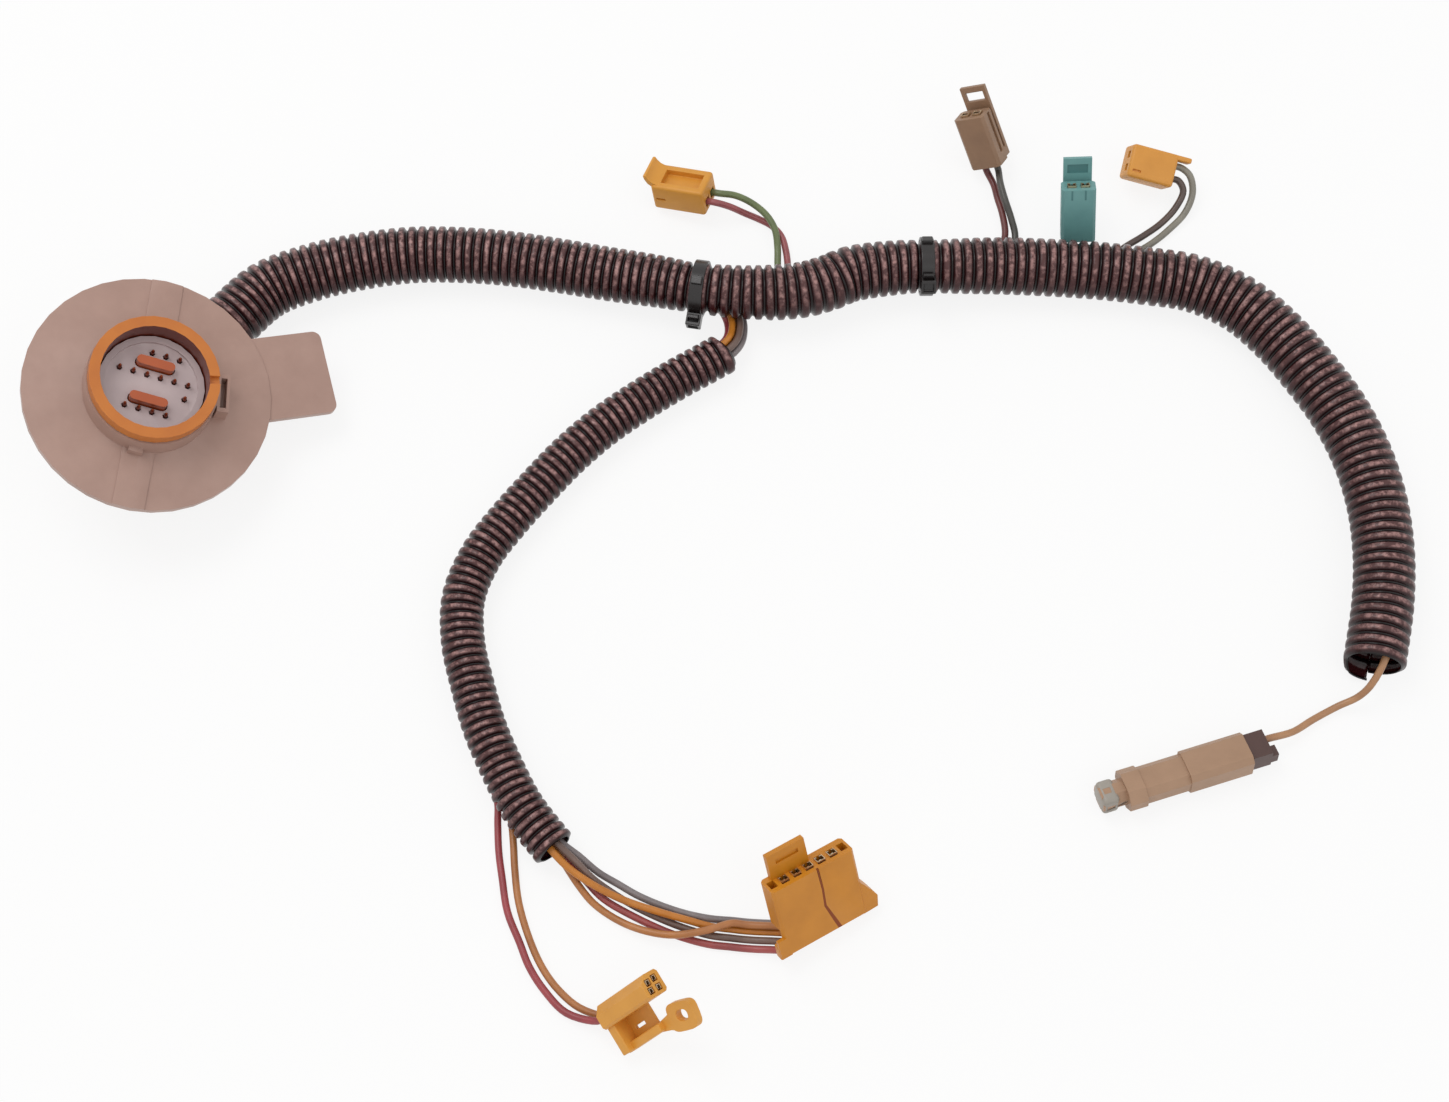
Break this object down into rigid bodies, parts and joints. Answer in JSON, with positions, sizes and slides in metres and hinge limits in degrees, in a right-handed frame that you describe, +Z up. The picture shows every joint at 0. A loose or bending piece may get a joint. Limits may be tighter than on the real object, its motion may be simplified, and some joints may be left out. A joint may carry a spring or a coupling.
{
  "type": "wiring harness",
  "caption": "Wiring harness laid flat: a round flanged pass-through connector, two split corrugated looms held by cable ties, and small plugs on short coloured leads.",
  "frame": {"origin": "middle of the plan outline, at the table", "axes": "+X along the longest extent, from the round connector to the bend of the main loom, +Z up from the table"},
  "size_m": [0.4144, 0.3074, 0.0515],
  "materials": {
    "loom": "satin",
    "tie": "satin",
    "flange": "satin",
    "orange": "satin",
    "contact_face": "satin",
    "brass": "bright",
    "rear_cover": "satin",
    "yellow": "satin",
    "tan": "satin",
    "teal": "satin",
    "amber": "satin",
    "arm": "satin",
    "sensor": "satin",
    "lock": "satin",
    "lead_green": "satin",
    "lead_red": "satin",
    "lead_dark": "satin",
    "lead_grey": "satin",
    "lead_brown": "satin",
    "lead_tan": "satin",
    "lead_orange": "satin"
  },
  "bodies": {
    "root": {"main_loom_near": "loom", "main_loom_far": "loom", "branch_loom": "loom", "cable_tie_junction": "tie", "cable_tie_middle": "tie", "connector_flange": "flange", "connector_shell": "orange", "contact_face": "contact_face", "contact_pin_01": "brass", "contact_pin_02": "brass", "contact_pin_03": "brass", "contact_pin_04": "brass", "contact_pin_05": "brass", "contact_pin_06": "brass", "contact_pin_07": "brass", "contact_pin_08": "brass", "contact_pin_09": "brass", "contact_pin_10": "brass", "contact_pin_11": "brass", "contact_pin_12": "brass", "contact_pin_13": "brass", "contact_pin_14": "brass", "rear_cover": "rear_cover", "near_yellow_plug": "yellow", "tan_plug": "tan", "teal_plug": "teal", "far_yellow_plug": "yellow", "five_way_plug": "amber", "five_way_terminal_1": "brass", "five_way_terminal_2": "brass", "five_way_terminal_3": "brass", "five_way_terminal_4": "brass", "five_way_terminal_5": "brass", "arm_plug": "arm", "sensor_plug": "sensor", "sensor_lock": "lock", "near_yellow_lead_green": "lead_green", "near_yellow_lead_red": "lead_red", "tan_lead_red": "lead_red", "tan_lead_dark": "lead_dark", "teal_lead_one": "lead_dark", "teal_lead_two": "lead_grey", "far_yellow_lead_light": "lead_grey", "far_yellow_lead_dark": "lead_brown", "sensor_lead": "lead_tan", "arm_lead_red": "lead_red", "arm_lead_brown": "lead_orange", "five_way_lead_grey": "lead_grey", "five_way_lead_brown": "lead_brown", "five_way_lead_red": "lead_red", "five_way_lead_amber": "lead_tan", "five_way_lead_orange": "lead_orange"}
  },
  "joints": []
}
